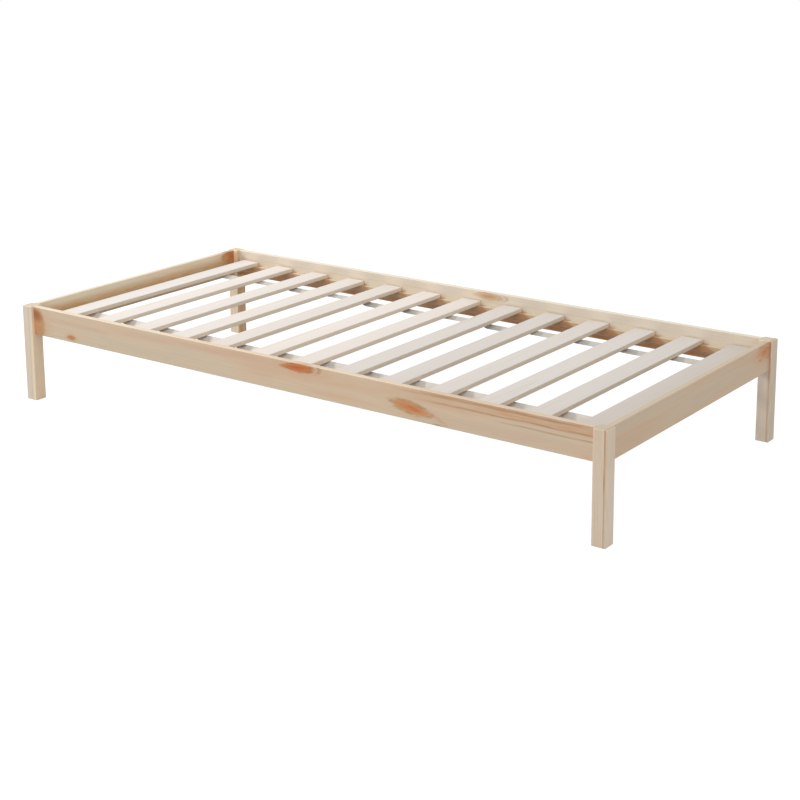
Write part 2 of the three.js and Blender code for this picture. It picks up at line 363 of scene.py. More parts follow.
# %% Effect: knot
# Distances from a knot's middle are shares: its outline lies at 1. A band rises over its first pair of
# them and falls over its second. The grain flows round a knot less and less, by FLOW_FALL, further out.
MARK_INPUTS = {"Place": None, "Middle": None, "Lean": 0.0, "Half Length": 0.02, "Half Width": 0.01}
KNOT_INPUTS = {"Pull": 0.8, "Softness": 0.12, "Skew": 0.0, "Sharp": 1.5}
RAGGEDNESS = 0.5
FLECK_STRETCH = (1.5, 3.6, 1.0)
FLECK_STEP = (97.0, 61.0, 0.0)
RIM_BAND = ((0.66, 0.96), (0.98, 1.20))
ARC_BAND = ((1.10, 1.28), (1.30, 1.50))
FLOW_FALL = 0.33


def own_place(tree, given):
    """The place as seen from the mark's middle, turned to the mark's lean."""
    off = vector_maths(tree, "SUBTRACT", given["Place"], given["Middle"])
    turn_back = {"Vector": off, "Angle": times(tree, given["Lean"], -1.0)}
    turned = add_node(tree, "ShaderNodeVectorRotate", turn_back, rotation_type="Z_AXIS")
    return split(tree, turned.outputs[0])


def between(tree, value, rises, falls):
    """1 between the two pairs of values and 0 outside them."""
    return times(tree, fade(tree, value, *rises), fade_out(tree, value, *falls))


tree, given = new_effect("knot", MARK_INPUTS | KNOT_INPUTS)
along, across, _ = own_place(tree, given)
along_share = maths(tree, "DIVIDE", along, given["Half Length"])
widening = maths(tree, "MULTIPLY_ADD", fade(tree, along_share, -1.0, 1.0, -1.0, 1.0), given["Skew"], 1.0)
across_share = maths(tree, "DIVIDE", across, times(tree, given["Half Width"], widening))
oval = add_node(tree, "ShaderNodeCombineXYZ", {0: along_share, 1: across_share}).outputs[0]
oval_distance = vector_maths(tree, "LENGTH", oval)
pointed = maths(tree, "POWER", maths(tree, "ABSOLUTE", across_share), given["Sharp"])
pointed = maths(tree, "SQRT", maths(tree, "MULTIPLY_ADD", along_share, along_share, pointed))
ragged = grain_noise(tree, given["Place"], 42.0, 360.0, detail=3.0, roughness=0.6)
ragged_shift = maths(tree, "MULTIPLY_ADD", ragged, RAGGEDNESS, -RAGGEDNESS / 2)
distance = maths(tree, "ADD", pointed, ragged_shift)
inner = maths(tree, "SUBTRACT", 1.0, given["Softness"])
outer = maths(tree, "ADD", 1.0, given["Softness"])
heart = fade_out(tree, distance, inner, outer)
flecks = vector_maths(tree, "MULTIPLY", oval, FLECK_STRETCH)
flecks = vector_maths(tree, "ADD", flecks, vector_maths(tree, "MULTIPLY", given["Middle"], FLECK_STEP))
streaky = noise(tree, flecks, 1.0, detail=4.0, roughness=0.62, distortion=0.4)
broken = fade(tree, grain_noise(tree, given["Place"], 34.0, 70.0), 0.44, 0.62)
towards_end = fade(tree, maths(tree, "DIVIDE", along_share, oval_distance), 0.70, 0.95)
gappy = fade(tree, ragged, 0.34, 0.56, 0.35, 1.0)
near = maths(tree, "EXPONENT", times(tree, distance, distance, -FLOW_FALL))
pulled = times(tree, across, near, given["Pull"], -1.0)
knot_effect = give_out(tree, {
    "Shift": add_node(tree, "ShaderNodeCombineXYZ", {1: pulled}).outputs[0],
    "Heart": heart,
    "Core": fade_out(tree, distance, 0.15, 0.95),
    "Deep": times(tree, fade(tree, streaky, 0.47, 0.70), heart),
    "Rim": times(tree, between(tree, distance, *RIM_BAND), broken),
    "Halo": fade_out(tree, distance, 0.9, 2.3),
    "Arc": times(tree, between(tree, oval_distance, *ARC_BAND), towards_end, gappy),
})


# %% [markdown]
# ## Streaks
#
# Resin and dense late wood leave long lines and bands along a board. A streak is a narrow band round its
# own middle line: it wanders a little, fades out at both ends, and its strength changes along its length.

# %% Effect: streak
STRAY = 0.006

tree, given = new_effect("streak", MARK_INPUTS)
along, across, _ = own_place(tree, given)
wander = grain_noise(tree, given["Place"], 4.0, 1.0)
across = maths(tree, "ADD", across, maths(tree, "MULTIPLY_ADD", wander, STRAY, -STRAY / 2))
far = maths(tree, "DIVIDE", maths(tree, "ABSOLUTE", along), given["Half Length"])
wide = maths(tree, "DIVIDE", maths(tree, "ABSOLUTE", across), given["Half Width"])
strong = fade(tree, grain_noise(tree, given["Place"], 16.0, 420.0, detail=2.0), 0.32, 0.58, 0.45, 1.0)
streak_effect = give_out(tree, {
    "Mask": times(tree, fade_out(tree, far, 0.5, 1.0), fade_out(tree, wide, 0.1, 1.0), strong),
})


# %% [markdown]
# ## Eased edges and sawn ends
#
# Hands and the planer polish a board's edges, and its sawn ends drink more finish and dirt and turn
# darker. Both are found from the place on the board alone: near an edge two of the three distances to
# the board's sides are small, and at an end the distance along the board is. A board's upper face is
# found in the same way, for the painted light that its colour gets there.

# %% Effect: eased edges
# Reaches and depths are in metres from the nearest face.
EDGE_REACH = 0.0004
EDGE_UNEVENNESS = 0.0036
END_DEPTH = (0.0002, 0.0009)
SIDE_DEPTH = (0.0003, 0.0012)

tree, given = new_effect("eased_edges", {"Place": None, "Half Size": None})
off_middle = vector_maths(tree, "ABSOLUTE", given["Place"])
first, second, third = split(tree, vector_maths(tree, "SUBTRACT", given["Half Size"], off_middle))
smallest = maths(tree, "MINIMUM", maths(tree, "MINIMUM", first, second), third)
largest = maths(tree, "MAXIMUM", maths(tree, "MAXIMUM", first, second), third)
middle = maths(tree, "ADD", maths(tree, "ADD", first, second), third)
middle = maths(tree, "SUBTRACT", maths(tree, "SUBTRACT", middle, smallest), largest)
uneven = noise(tree, given["Place"], 90.0)
reach = maths(tree, "MULTIPLY_ADD", uneven, EDGE_UNEVENNESS, EDGE_REACH)
side = fade_out(tree, second, *SIDE_DEPTH)
upward = maths(tree, "GREATER_THAN", split(tree, given["Place"])[1], 0.0)
eased_edges = give_out(tree, {
    "Edge": fade_out(tree, middle, 0.0, reach),
    "End": fade_out(tree, first, *END_DEPTH),
    "Side": side,
    "Top": times(tree, side, upward),
})


# %% [markdown]
# ## Shade of the slats
#
# The ledges under the slats carry a painted shadow of each slat: painted shade in brown beside a slat,
# and paler painted light where the window's light comes in between two slats. The edge of that painted
# shadow slants, because the light comes down at a slant from the left.

# %% Effect: shade of the slats
# The shade reaches SHADE_REACH past a slat at half the ledge's height, and less far higher up.
SLAT_PITCH = 0.1555
SLAT_HALF_WIDTH = 0.034
SHADE_REACH = 0.033
SHADE_SLANT = 1.6
SHADE_BLUR = (-0.010, 0.012)
SLAT_BLUR = 0.0068

# Painted shadow: the mask is 1 in the painted light between two slats and 0 in each slat's painted shade.
tree, given = new_effect("painted_slat_shadow", {"Place": None})
along, up, _ = split(tree, given["Place"])
turn = maths(tree, "MULTIPLY_ADD", along, 1 / SLAT_PITCH, -SLAT_HALF_WIDTH / SLAT_PITCH)
from_slat = times(tree, maths(tree, "FRACT", turn), SLAT_PITCH)
shaded_to = maths(tree, "MULTIPLY_ADD", up, -SHADE_SLANT, SHADE_REACH)
beyond = fade(tree, maths(tree, "SUBTRACT", from_slat, shaded_to), *SHADE_BLUR)
gap = SLAT_PITCH - 2 * SLAT_HALF_WIDTH
before_next = fade_out(tree, from_slat, gap, gap + SLAT_BLUR)
painted_slat_shadow = give_out(tree, {"PaintedLight": times(tree, beyond, before_next)})


# %% [markdown]
# ## Pine
#
# One function builds the material of a board. Its pattern is read from four things that each board's
# mesh carries: the place on the board, the board's half size, the place in the trunk, and a tone. Boards
# with knots get a material of their own, and plain ones share one and differ by their place in the trunk.

# %% Material: pine
def read_mesh(tree, name):
    return add_node(tree, "ShaderNodeAttribute", attribute_name=name).outputs["Vector"]


PINE_PALE = paint(226, 203, 174)
PINE_DARK = paint(198, 158, 118)
WARM_STAIN = paint(216, 174, 140)
GREY_STAIN = paint(210, 190, 165)
END_GRAIN = paint(184, 168, 143)
RUBBED_EDGE = paint(230, 218, 200)
# Painted light: upper faces get this lighter colour, as the light falls on them.
PAINTED_TOP_LIGHT = paint(240, 228, 208)
COOL_WHITE = paint(230, 232, 234)
KNOT_BARK = paint(112, 62, 32)
KNOT_BROWN = paint(156, 86, 44)
KNOT_OCHRE = paint(204, 152, 100)
KNOT_CORE = paint(214, 124, 70)
KNOT_AMBER = paint(222, 174, 134)
KNOT_AMBER_CORE = paint(214, 146, 98)
HEALED = paint(164, 124, 90)

END_SHARE = 0.6
EDGE_SHARE = 0.25
WOOD_ROUGHNESS = 0.60
WOOD_RELIEF = 0.00025


def close_material(tree, colour, rough, height, strength, depth, more=None):
    """Ends a material with a bump and the one Principled shader."""
    bump = add_node(tree, "ShaderNodeBump", {"Height": height, "Strength": strength, "Distance": depth})
    inputs = {"Base Color": colour, "Roughness": rough, "Normal": bump.outputs[0], **(more or {})}
    shader = add_node(tree, "ShaderNodeBsdfPrincipled", inputs)
    add_node(tree, "ShaderNodeOutputMaterial", {"Surface": shader.outputs[0]})


def lighten(tree, colour, light):
    return add_node(tree, "ShaderNodeHueSaturation", {"Value": light, "Color": colour}).outputs[0]


def pine(name, pale, dark=PINE_DARK, knots=(), streaks=(), top=0.0, top_colour=PAINTED_TOP_LIGHT, side=None,
         gaps=None, ring_width=0.0045, waviness=0.004, contrast=0.5):
    material, tree = new_material(name)
    place = read_mesh(tree, "board_place")
    half = read_mesh(tree, "board_half")
    log = read_mesh(tree, "log_place")
    light, warm, cool = split(tree, read_mesh(tree, "board_tone"))
    cuts = []
    for mark in knots:
        cut = use_effect(tree, knot_effect, {"Place": place, **mark["shape"], **mark["form"]})
        log = vector_maths(tree, "ADD", log, cut["Shift"])
        cuts.append(cut)
    grown = {"Log Place": log, "Ring Width": ring_width, "Waviness": waviness}
    ring = use_effect(tree, growth_rings, grown)
    edge = use_effect(tree, eased_edges, {"Place": place, "Half Size": half})
    line = times(tree, ring["Latewood"], contrast)
    line = maths(tree, "ADD", line, fade(tree, ring["Fibre"], 0.35, 0.75, -0.08, 0.14), clamp=True)
    colour = tint(tree, line, pale, dark)
    colour = stain(tree, colour, fade(tree, ring["Cloud"], 0.42, 0.70), warm, WARM_STAIN)
    colour = stain(tree, colour, fade(tree, ring["Cloud"], 0.58, 0.36), warm, GREY_STAIN)
    colour = tint(tree, cool, colour, COOL_WHITE)
    for mark in streaks:
        mask = use_effect(tree, streak_effect, {"Place": place, **mark["shape"]})["Mask"]
        colour = stain(tree, colour, mask, mark["strength"], mark["colour"])
    for mark, cut in zip(knots, cuts):
        for part, share, over in mark["layers"]:
            colour = stain(tree, colour, cut[part], share, over)
    # Upper faces get painted light, the top colour, as light falls on them.
    top_share = times(tree, edge["Top"], top)
    # On the ledges: painted light between the slats, and painted shade in brown beside each slat.
    if gaps:
        painted_gap_light = use_effect(tree, painted_slat_shadow, {"Place": place})["PaintedLight"]
        colour = tint(tree, painted_gap_light, colour, gaps)
        top_share = times(tree, top_share, fade(tree, painted_gap_light, 0.0, 1.0, 0.15, 1.0))
    if top:
        colour = tint(tree, top_share, colour, top_colour)
    # The side colour is painted light on the side faces.
    if side:
        colour = tint(tree, edge["Side"], colour, side)
    colour = stain(tree, colour, edge["End"], END_SHARE, END_GRAIN)
    colour = stain(tree, colour, edge["Edge"], EDGE_SHARE, RUBBED_EDGE)
    rough = maths(tree, "MULTIPLY_ADD", ring["Latewood"], -0.10, WOOD_ROUGHNESS)
    rough = maths(tree, "MULTIPLY_ADD", edge["Edge"], -0.08, rough)
    rough = maths(tree, "MULTIPLY_ADD", edge["End"], 0.15, rough)
    close_material(tree, lighten(tree, colour, light), rough, ring["Relief"], 0.5, WOOD_RELIEF)
    print("wood:", name, "with", len(knots), "knots and", len(streaks), "streaks")
    return material


def mark_shape(along, across, length, width, lean):
    return {
        "Middle": (along, across, 0.0), "Lean": lean, "Half Length": length, "Half Width": width,
    }


def knot(along, across, length, width, lean=0.0, colour=KNOT_OCHRE, core=KNOT_CORE, strength=0.9,
         deep=0.45, rim=0.3, halo=0.12, arc=0.0, pull=0.85, softness=0.2, skew=0.0, sharp=1.5):
    return {
        "shape": mark_shape(along, across, length, width, lean),
        "form": {"Pull": pull, "Softness": softness, "Skew": skew, "Sharp": sharp},
        "layers": [
            ("Halo", halo, colour), ("Heart", strength, colour), ("Core", strength, core),
            ("Deep", deep, KNOT_BROWN), ("Rim", rim, KNOT_BARK), ("Arc", arc, HEALED),
        ],
    }


def streak(along, across, length, width, lean=0.0, colour=PINE_DARK, strength=0.6):
    return {
        "shape": mark_shape(along, across, length, width, lean), "colour": colour,
        "strength": strength,
    }


# %% [markdown]
# ## Boards that keep the frame's joinery
#
# Legs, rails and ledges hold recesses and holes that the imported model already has, so each is taken
# over as a copy, and not built again. The copy gets smooth shading on its rounded edges: corners under
# forty degrees are shaded as one curve, and face weights keep the broad faces flat.

# %% Boards from the frame
SMOOTH_UP_TO = math.radians(40.0)
WELD = 1e-6
rng = random.Random(41)


def carry(mesh, name, values):
    made = mesh.attributes.new(name, "FLOAT_VECTOR", "POINT")
    made.data.foreach_set("vector", np.asarray(values, np.float32).ravel())


def lay_grain(mesh, low, high, axes, heart, lean, tone):
    """Writes what the wood reads: axes are the world axes of the board's length, width and thickness."""
    count = len(mesh.vertices)
    corners = np.empty(count * 3, np.float32)
    mesh.vertices.foreach_get("co", corners)
    order = ["xyz".index(axis) for axis in axes]
    low, high = np.array(low)[order], np.array(high)[order]
    place = corners.reshape(-1, 3)[:, order] - (low + high) / 2
    turn = np.array(Matrix.Rotation(lean[1], 3, "Y") @ Matrix.Rotation(lean[0], 3, "Z"))
    carry(mesh, "board_place", place)
    carry(mesh, "board_half", np.tile((high - low) / 2, (count, 1)))
    carry(mesh, "log_place", place @ turn.T + np.array(heart))
    carry(mesh, "board_tone", np.tile(tone, (count, 1)))


def finish_board(name, mesh, material, nodes):
    mesh.materials.clear()
    mesh.materials.append(material)
    board = new_object(name, mesh)
    weighted = board.modifiers.new("flat_faces", "WEIGHTED_NORMAL")
    weighted.keep_sharp = True
    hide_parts(*nodes)
    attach(board, "root")
    return board
def smooth_mesh(solid, name):
    """Turns what was built into a mesh: smooth, apart from the edges over the limit."""
    for face in solid.faces:
        face.smooth = True
    for edge in solid.edges:
        edge.smooth = edge.is_manifold and edge.calc_face_angle() < SMOOTH_UP_TO
    mesh = bpy.data.meshes.new(name)
    solid.to_mesh(mesh)
    solid.free()
    return mesh


def jointed_board(node, axes, material, heart, lean=(0.0, 0.0), tone=(1.0, 0.3, 0.0)):
    solid = bmesh.new()
    solid.from_mesh(cad_nodes[node].data)
    bmesh.ops.remove_doubles(solid, verts=solid.verts, dist=WELD)
    mesh = smooth_mesh(solid, "dressed_" + node)
    low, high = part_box(node)
    lay_grain(mesh, low, high, axes, heart, lean, tone)
    finish_board("dressed_" + node, mesh, material, [node])


# %% [markdown]
# ## Side rails
#
# The front rail carries the bed's strongest marks: a large orange patch at its left end, a small knot
# near the lower edge, and two long knots to the right, one of which leans with a faint tail. They are
# placed by their distance from the rail's middle, in metres along and up the rail.

# %% Front rail
RAIL_MIDDLE = 0.256
LINE_BROWN = paint(172, 126, 84)
LINE_ORANGE = paint(214, 150, 98)
BAND_PINK = paint(216, 176, 148)
WEDGE_ORANGE = paint(220, 157, 112)
KNOT_ORANGE = paint(204, 134, 82)
KNOT_RED = paint(204, 104, 52)
TOP_BROWN = paint(194, 152, 114)
SPOT_BROWN = paint(176, 128, 92)
front_knots = [
    knot(-0.986, 0.240 - RAIL_MIDDLE, 0.043, 0.056, colour=KNOT_OCHRE, core=WEDGE_ORANGE, softness=0.14,
         rim=0.0, deep=0.2, halo=0.20, sharp=2.0),
    knot(-0.975, 0.274 - RAIL_MIDDLE, 0.024, 0.019, colour=KNOT_BROWN, core=KNOT_BROWN, softness=0.5,
         strength=0.4, rim=0.0, deep=0.0, halo=0.0, pull=0.0, sharp=2.0),
    knot(-0.825, 0.227 - RAIL_MIDDLE, 0.0175, 0.0058, softness=0.25, strength=1.0, halo=0.4, deep=0.8,
         sharp=1.25),
    knot(0.064, 0.2875 - RAIL_MIDDLE, 0.060, 0.0122, lean=0.05, colour=KNOT_ORANGE, core=KNOT_RED, rim=0.3,
         arc=0.6, skew=0.25, strength=1.0, deep=0.5),
    knot(0.446, 0.2455 - RAIL_MIDDLE, 0.068, 0.0170, lean=-0.13, softness=0.24, deep=0.35, rim=0.25,
         skew=-0.12),
    knot(0.530, 0.2135 - RAIL_MIDDLE, 0.015, 0.0030, colour=SPOT_BROWN, core=SPOT_BROWN, softness=0.4,
         pull=0.3, strength=0.6, rim=0.0, deep=0.0),
]
front_streaks = [
    streak(-0.80, 0.268 - RAIL_MIDDLE, 0.17, 0.012, -0.01, BAND_PINK, 0.6),
    streak(-0.35, 0.282 - RAIL_MIDDLE, 0.36, 0.016, 0.015, BAND_PINK, 0.6),
    streak(0.76, 0.283 - RAIL_MIDDLE, 0.46, 0.030, 0.0, WARM_STAIN, 0.6),
    streak(0.80, 0.2960 - RAIL_MIDDLE, 0.40, 0.0110, 0.0, TOP_BROWN, 0.85),
    streak(0.69, 0.2915 - RAIL_MIDDLE, 0.32, 0.0044, 0.004, LINE_BROWN, 0.6),
    streak(0.90, 0.283 - RAIL_MIDDLE, 0.30, 0.0085, 0.0, LINE_ORANGE, 0.6),
    streak(0.78, 0.2745 - RAIL_MIDDLE, 0.36, 0.0046, 0.004, LINE_BROWN, 0.65),
    streak(0.93, 0.2600 - RAIL_MIDDLE, 0.26, 0.0040, 0.0, LINE_BROWN, 0.6),
    streak(0.84, 0.234 - RAIL_MIDDLE, 0.42, 0.0300, 0.0, BAND_PINK, 0.45),
    streak(0.535, 0.229 - RAIL_MIDDLE, 0.040, 0.0080, -0.50, LINE_ORANGE, 0.40),
]
jointed_board(
    "side_rail_front", "xzy",
    pine("pine_front_rail", PINE_PALE, knots=front_knots, streaks=front_streaks, top=0.3, contrast=0.4),
    heart=(0.0, 0.062, 0.055), lean=(0.004, 0.002), tone=(1.0, 0.6, 0.0),
)

# %% Back rail
# Painted shade: this brown colours the back rail's lower part, under the ledge.
UNDER_LEDGE_SHADE = paint(216, 142, 74)
KNOT_FAINT = paint(217, 188, 152)
KNOT_FAINT_CORE = paint(204, 156, 108)
back_knots = [
    knot(0.060, 0.2865 - RAIL_MIDDLE, 0.055, 0.0115, colour=KNOT_FAINT, core=KNOT_FAINT_CORE, rim=0.15,
         deep=0.2, arc=0.5),
]
# The broad brown band low on the back rail is painted shade, the warm shade under the ledge.
back_streaks = [streak(0.0, 0.2180 - RAIL_MIDDLE, 2.4, 0.0200, 0.0, UNDER_LEDGE_SHADE, 0.95)]
jointed_board(
    "side_rail_back", "xzy",
    pine("pine_back_rail", paint(230, 219, 201), knots=back_knots, streaks=back_streaks, top=0.5,
         contrast=0.3),
    heart=(2.0, -0.064, 0.058), lean=(-0.003, 0.003), tone=(1.0, 0.28, 0.0),
)


# %% [markdown]
# ## End rails
#
# The end rails stand between the legs, and each has a knot's patch at its back end. Of the left one only
# the inner face is seen, in warm light that the slats throw back. That glow is put into the wood here as
# two broad streaks, because a lamp for it would colour the slats as well.

# %% End rails
SHADED_WARM = paint(212, 156, 86)
MOTTLED = paint(184, 106, 42)
left_knots = [
    knot(0.4425, 0.284 - RAIL_MIDDLE, 0.058, 0.033, colour=KNOT_OCHRE, core=MOTTLED, softness=0.2,
         deep=0.8, rim=0.1, halo=0.25, sharp=2.0),
]
left_streaks = [
    streak(-0.05, 0.262 - RAIL_MIDDLE, 0.90, 0.030, 0.0, SHADED_WARM, 0.8),
    streak(-0.05, 0.222 - RAIL_MIDDLE, 0.90, 0.030, 0.0, SHADED_WARM, 0.7),
]
right_knots = [
    knot(0.4180, 0.277 - RAIL_MIDDLE, 0.050, 0.025, colour=KNOT_AMBER, core=KNOT_AMBER_CORE, softness=0.25,
         deep=0.45, rim=0.30, halo=0.30, strength=0.9, sharp=1.9),
]
jointed_board(
    "end_rail_left", "yzx",
    pine("pine_left_rail", paint(230, 217, 193), knots=left_knots, streaks=left_streaks, top=0.2),
    heart=(4.0, 0.050, -0.060), lean=(0.006, 0.004), tone=(1.0, 0.4, 0.0),
)
# The right end rail's top gets a greyer, darker colour: painted shade on its top face.
jointed_board(
    "end_rail_right", "yzx",
    pine("pine_right_rail", paint(227, 202, 173), knots=right_knots, top=0.85,
         top_colour=paint(204, 183, 158), contrast=0.4),
    heart=(6.0, -0.060, 0.050), lean=(-0.006, 0.005), tone=(0.98, 0.5, 0.0),
)


# %% [markdown]
# ## Legs
#
# A leg is sawn from the edge of a plank, so its faces show straight lines and no flames. Streaks place
# the strongest lines by their distance from the leg's middle. One that lies at the very edge, 20 mm from
# the middle, colours the whole side face: painted light on the front legs, painted shade on the back
# legs. One just inside it gives the corner its line of dense wood.

# %% Legs
LEG_TOP = 0.150
ARRIS_ORANGE = paint(216, 172, 138)
ARRIS_BROWN = paint(178, 110, 64)
# The next four colours colour whole side faces of legs: painted light (the first two), painted shade (the
# last two).
FRONT_LEFT_SIDE_LIGHT = paint(255, 223, 187)
FRONT_RIGHT_SIDE_LIGHT = paint(252, 233, 213)
BACK_LEFT_SIDE_SHADE = paint(196, 140, 80)
BACK_RIGHT_SIDE_SHADE = paint(198, 182, 161)
left_leg_pine = pine(
    "pine_front_left_leg", paint(236, 222, 203),
    streaks=[
        # This streak colours the whole side face: painted light.
        streak(-0.06, 0.0200, 0.26, 0.0160, 0.02, FRONT_LEFT_SIDE_LIGHT, 0.95),
        streak(0.0, 0.0050, 0.24, 0.0030, 0.01, PINE_DARK, 0.3),
    ],
)
right_leg_pine = pine(
    "pine_front_right_leg", paint(232, 213, 190),
    streaks=[
        streak(0.0, 0.0155, 0.24, 0.0042, 0.0, ARRIS_ORANGE, 0.75),
        # This streak colours the whole side face: painted light.
        streak(0.0, 0.0212, 0.60, 0.0030, 0.0, FRONT_RIGHT_SIDE_LIGHT, 0.8),
        streak(LEG_TOP - 0.06, 0.0128, 0.14, 0.0026, 0.0, LINE_BROWN, 0.9),
        streak(-0.02, 0.0135, 0.19, 0.0022, 0.004, LINE_BROWN, 0.5),
    ],
)
back_leg_pine = pine(
    "pine_back_right_leg", paint(252, 234, 214),
    streaks=[
        # This streak colours the whole side face: painted shade.
        streak(0.0, 0.0208, 0.60, 0.0036, 0.0, BACK_RIGHT_SIDE_SHADE, 0.8),
        streak(0.10, 0.0145, 0.085, 0.0052, 0.0, ARRIS_BROWN, 0.85),
        streak(-0.04, 0.0145, 0.180, 0.0050, 0.0, ARRIS_ORANGE, 0.8),
    ],
)
plain_leg_pine = pine(
    "pine_back_left_leg", paint(250, 231, 199),
    # Its one streak colours the whole side face: painted shade.
    streaks=[streak(-0.02, 0.0215, 0.40, 0.0060, 0.0, BACK_LEFT_SIDE_SHADE, 0.85)],
)
# Each leg's pale wood and tone are partly its own and partly painted light, which lifts the back legs out
# of the shade under the bed.
LEGS = {
    "leg_front_left": (left_leg_pine, (0.3, 0.056, -0.038), (1.02, 0.4, 0.0)),
    "leg_front_right": (right_leg_pine, (1.3, -0.051, 0.042), (1.0, 0.35, 0.0)),
    "leg_back_left": (plain_leg_pine, (2.3, 0.054, 0.060), (1.08, 0.35, 0.0)),
    "leg_back_right": (back_leg_pine, (3.3, -0.058, -0.046), (1.03, 0.35, 0.0)),
}
for node, (material, heart, tone) in LEGS.items():
    jointed_board(node, "zxy", material, heart, lean=(0.01, -0.008), tone=tone)


# %% [markdown]
# ## Ledges
#
# The slats rest on two square strips. Their orange-brown wood is painted shade, the warm shade under the
# slats, and their tops and the wood between two slats get painted light, like the rails' tops.

# %% Ledges
# The lit colour is painted light between the slats, and the two browns below are painted shade.
LEDGE_LIT = paint(217, 184, 143)
LEDGE_TOP = paint(212, 196, 170)
ledge_pine = pine(
    "pine_ledge", paint(210, 150, 97), paint(176, 106, 50), top=0.85, top_colour=LEDGE_TOP,
    gaps=LEDGE_LIT, contrast=0.9,
)
for index, node in enumerate(("slat_ledge_front", "slat_ledge_back")):
    jointed_board(node, "xzy", ledge_pine, heart=(5.0 + index, 0.05, 0.03), tone=(0.98, 0.5, 0.0))


# %% [markdown]
# ## Slats
#
# The slats are a paler, greyer wood than the frame, cut from thin stock. They have no joinery, so each
# is built fresh: a box, cut into short lengths so that it can bend, with its edges bevelled. Each slat
# then gets a slight crook of its own, less than half a millimetre, and its own piece of the trunk.

# %% Slat material
SLAT_PALE = paint(224, 213, 204)
SLAT_DARK = paint(204, 184, 166)
# The warmer colour on the slats' side faces is painted light, the warm light thrown back onto them.
SLAT_SIDE_WARM_LIGHT = paint(227, 209, 189)
slat_wood = pine("slat_wood", SLAT_PALE, SLAT_DARK, side=SLAT_SIDE_WARM_LIGHT, ring_width=0.0030, waviness=0.002,
                 contrast=0.45)
# Each slat comes from another plank: how light and how cool it is, from the left one to the right one.
# The lightness also falls from left to right: painted light, the falloff of the window on the left.
SLAT_LIGHT_AND_FALLOFF = [1.04, 1.08, 1.06, 1.07, 1.04, 1.11, 1.08, 0.96, 0.94, 0.97, 0.96, 0.93, 0.86]
SLAT_COOL = [0.26, 0.12, 0.10, 0.10, 0.08, 0.0, 0.06, 0.06, 0.10, 0.14, 0.12, 0.08, 0.0]

# %% Slats
SLAT_LENGTHS = 18
SLAT_EDGE = 0.0018
SLAT_END_EDGE = 0.0008
SLAT_CROOK = 0.0004
TOUCHING = 1e-7


def round_edges(solid, edges, radius, segments):
    bmesh.ops.bevel(solid, geom=edges, offset=radius, segments=segments, profile=0.5, affect="EDGES")


def slat_mesh(name, low, high):
    solid = bmesh.new()
    bmesh.ops.create_cube(solid, size=1.0)
    size = high - low
    bmesh.ops.scale(solid, vec=size, verts=solid.verts)
    bmesh.ops.translate(solid, vec=(low + high) / 2, verts=solid.verts)
    long_edges = [e for e in solid.edges if abs(e.verts[0].co.y - e.verts[1].co.y) > size.y / 2]
    round_edges(solid, long_edges, SLAT_EDGE, 4)
    end_edges = [
        e for e in solid.edges
        if abs(e.verts[0].co.y - e.verts[1].co.y) < TOUCHING
        and min(abs(e.verts[0].co.y - low.y), abs(e.verts[0].co.y - high.y)) < TOUCHING
    ]
    round_edges(solid, end_edges, SLAT_END_EDGE, 2)
    for step in range(1, SLAT_LENGTHS):
        cut = (0.0, low.y + size.y * step / SLAT_LENGTHS, 0.0)
        everything = solid.verts[:] + solid.edges[:] + solid.faces[:]
        bmesh.ops.bisect_plane(solid, geom=everything, plane_co=cut, plane_no=(0.0, 1.0, 0.0))
    return smooth_mesh(solid, name)


def bend(mesh, low, high, crook):
    for vertex in mesh.vertices:
        share = (vertex.co.y - low.y) / (high.y - low.y)
        vertex.co.x += crook * math.sin(math.pi * share)


SLAT_NODES = sorted(name for name in cad_nodes if name.startswith("slat_") and name[5:].isdigit())
for number, node in enumerate(SLAT_NODES):
    low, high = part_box(node)
    mesh = slat_mesh("dressed_" + node, low, high)
    heart = (
        rng.uniform(-20.0, 20.0),
        rng.uniform(-0.04, 0.04),
        rng.choice((-1, 1)) * rng.uniform(0.02, 0.07),
    )
    lean = (rng.uniform(-0.012, 0.012), rng.uniform(-0.01, 0.01))
    tone = (SLAT_LIGHT_AND_FALLOFF[number], rng.uniform(0.0, 0.2), SLAT_COOL[number])
    lay_grain(mesh, low, high, "yxz", heart, lean, tone)
    bend(mesh, low, high, rng.uniform(-SLAT_CROOK, SLAT_CROOK))
    finish_board("dressed_" + node, mesh, slat_wood, [node])
print("slats:", len(SLAT_NODES))


# %% [markdown]
# ## Woven straps
#
# Two flat woven bands run under the slats and are stapled to each. Only the staple holds a band up, in
# the middle of its width. A finger's width beside it the band already hangs at its full depth, and its
# front edge hangs lower than its back edge, so it rolls a little. The bands were stapled by hand: some
# gaps are tight and some are slack by a centimetre.
#
# Cloth could be simulated for this, but how low each edge hangs is known, so each band is swept as one
# closed mesh with soft selvedges. The weave is a pattern of its own: yarns that pass over and under each
# other. Both bands get painted light, the front band more, to lift the shade under the slats.

# %% Effect: weave
tree, given = new_effect("weave", {"Place": None, "Yarn": 0.0011})
along, across, _ = split(tree, given["Place"])
u = maths(tree, "DIVIDE", along, given["Yarn"])
v = maths(tree, "DIVIDE", across, given["Yarn"])
over = maths(tree, "ADD", maths(tree, "FLOOR", u), maths(tree, "FLOOR", v))
over = maths(tree, "PINGPONG", over, 1.0)
crown_u = maths(tree, "SINE", times(tree, maths(tree, "FRACT", u), math.pi))
crown_v = maths(tree, "SINE", times(tree, maths(tree, "FRACT", v), math.pi))
warp = times(tree, crown_v, maths(tree, "MULTIPLY_ADD", crown_u, 0.5, 0.5))
weft = times(tree, crown_u, maths(tree, "MULTIPLY_ADD", crown_v, 0.5, 0.5))
height = add_node(tree, "ShaderNodeMix", {0: over, 2: warp, 3: weft}).outputs[0]
fuzz = noise(tree, given["Place"], 900.0)
shade = maths(tree, "MULTIPLY_ADD", fuzz, 0.3, times(tree, height, 0.7))
